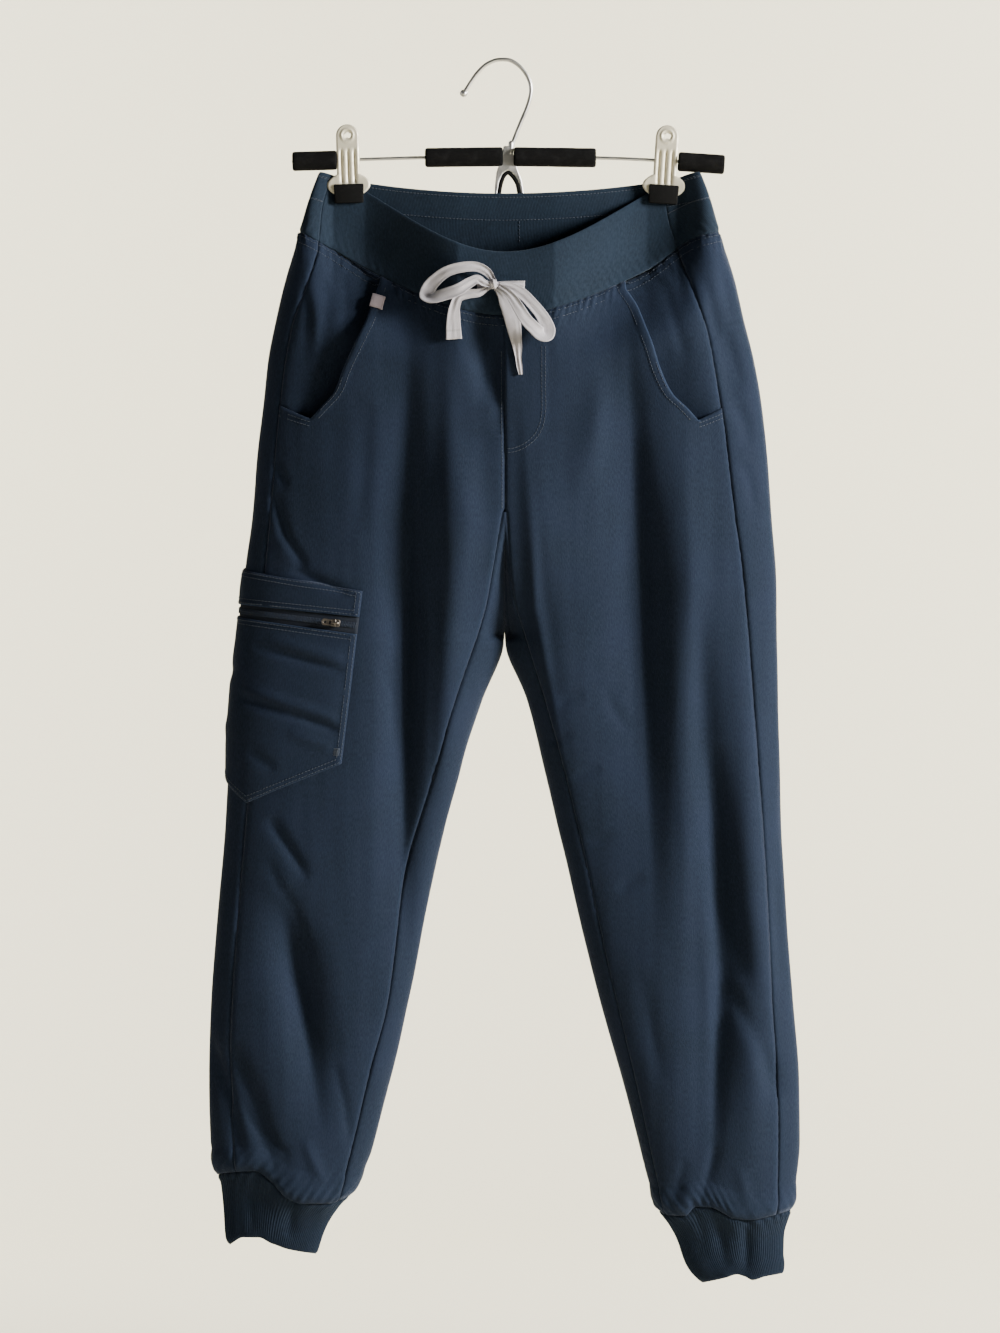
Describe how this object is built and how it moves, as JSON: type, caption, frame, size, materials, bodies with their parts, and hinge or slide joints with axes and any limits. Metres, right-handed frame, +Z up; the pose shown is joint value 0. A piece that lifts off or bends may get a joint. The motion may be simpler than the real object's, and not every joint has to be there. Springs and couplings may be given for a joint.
{
  "type": "scrub joggers on a clip hanger",
  "caption": "Scrub joggers with an elastic drawcord waist, slanted hand pockets, a zipped cargo pocket and rib cuffs, hanging from a wire clip hanger.",
  "frame": {"origin": "underside of the hook's crown, where the hanger hangs", "axes": "+Z up, the garment's front faces -Y, the wearer's right is at -X"},
  "size_m": [0.5197, 0.1054, 1.0777],
  "materials": {
    "cloth": "navy stretch twill, fine diagonal weave, matt",
    "band_cloth": "teal-navy cloth over elastic, matt",
    "rib_cloth": "teal-navy rib knit, matt",
    "zip_tape": "dark navy woven zip tape",
    "zip_metal": "dull nickel",
    "label_cloth": "grey-mauve woven label, bare",
    "cord_tape": "pale grey-lilac flat woven tape",
    "chrome_wire": "polished wire",
    "chrome_yoke": "polished plate",
    "arch": "black, satin",
    "foam": "black foam, matt",
    "clip_enamel": "cream-silver pressed metal, satin",
    "clip_boot": "black rubber, satin"
  },
  "bodies": {
    "garment": {"front_right": "cloth", "back_right": "cloth", "pocket_bearer_right": "cloth", "front_left": "cloth", "back_left": "cloth", "pocket_bearer_left": "cloth", "cargo_top": "cloth", "cargo_bag": "cloth", "waistband_front": "band_cloth", "waistband_back": "band_cloth", "cuff_right": "rib_cloth", "cuff_left": "rib_cloth", "cargo_zip_tape": "zip_tape", "zip_slider": "zip_metal", "side_label": "label_cloth", "drawcord_strand_right": "cord_tape", "drawcord_strand_left": "cord_tape", "drawcord_loop_right": "cord_tape", "drawcord_loop_left": "cord_tape", "drawcord_tail_right": "cord_tape", "drawcord_tail_left": "cord_tape", "drawcord_knot": "cord_tape", "hook_wire": "chrome_wire", "hook_tip": "chrome_wire", "bar_wire": "chrome_wire", "clip_right_spring": "chrome_wire", "clip_left_spring": "chrome_wire", "yoke": "chrome_yoke", "stirrup": "arch", "sleeve_end_right": "foam", "sleeve_middle_right": "foam", "sleeve_middle_left": "foam", "sleeve_end_left": "foam", "clip_right_front_jaw": "clip_enamel", "clip_right_back_jaw": "clip_enamel", "clip_left_front_jaw": "clip_enamel", "clip_left_back_jaw": "clip_enamel", "clip_right_front_boot": "clip_boot", "clip_right_back_boot": "clip_boot", "clip_left_front_boot": "clip_boot", "clip_left_back_boot": "clip_boot"},
    "zip_pull": {"zip_pull": "zip_metal"}
  },
  "joints": [
    {"name": "zip_pull_swing", "type": "hinge", "parent": "garment", "child": "zip_pull", "pos_m": [-0.14829, -0.03707, -0.49391], "axis": [0.1197, -0.0207, 0.9926], "range_deg": [0, 150]}
  ]
}
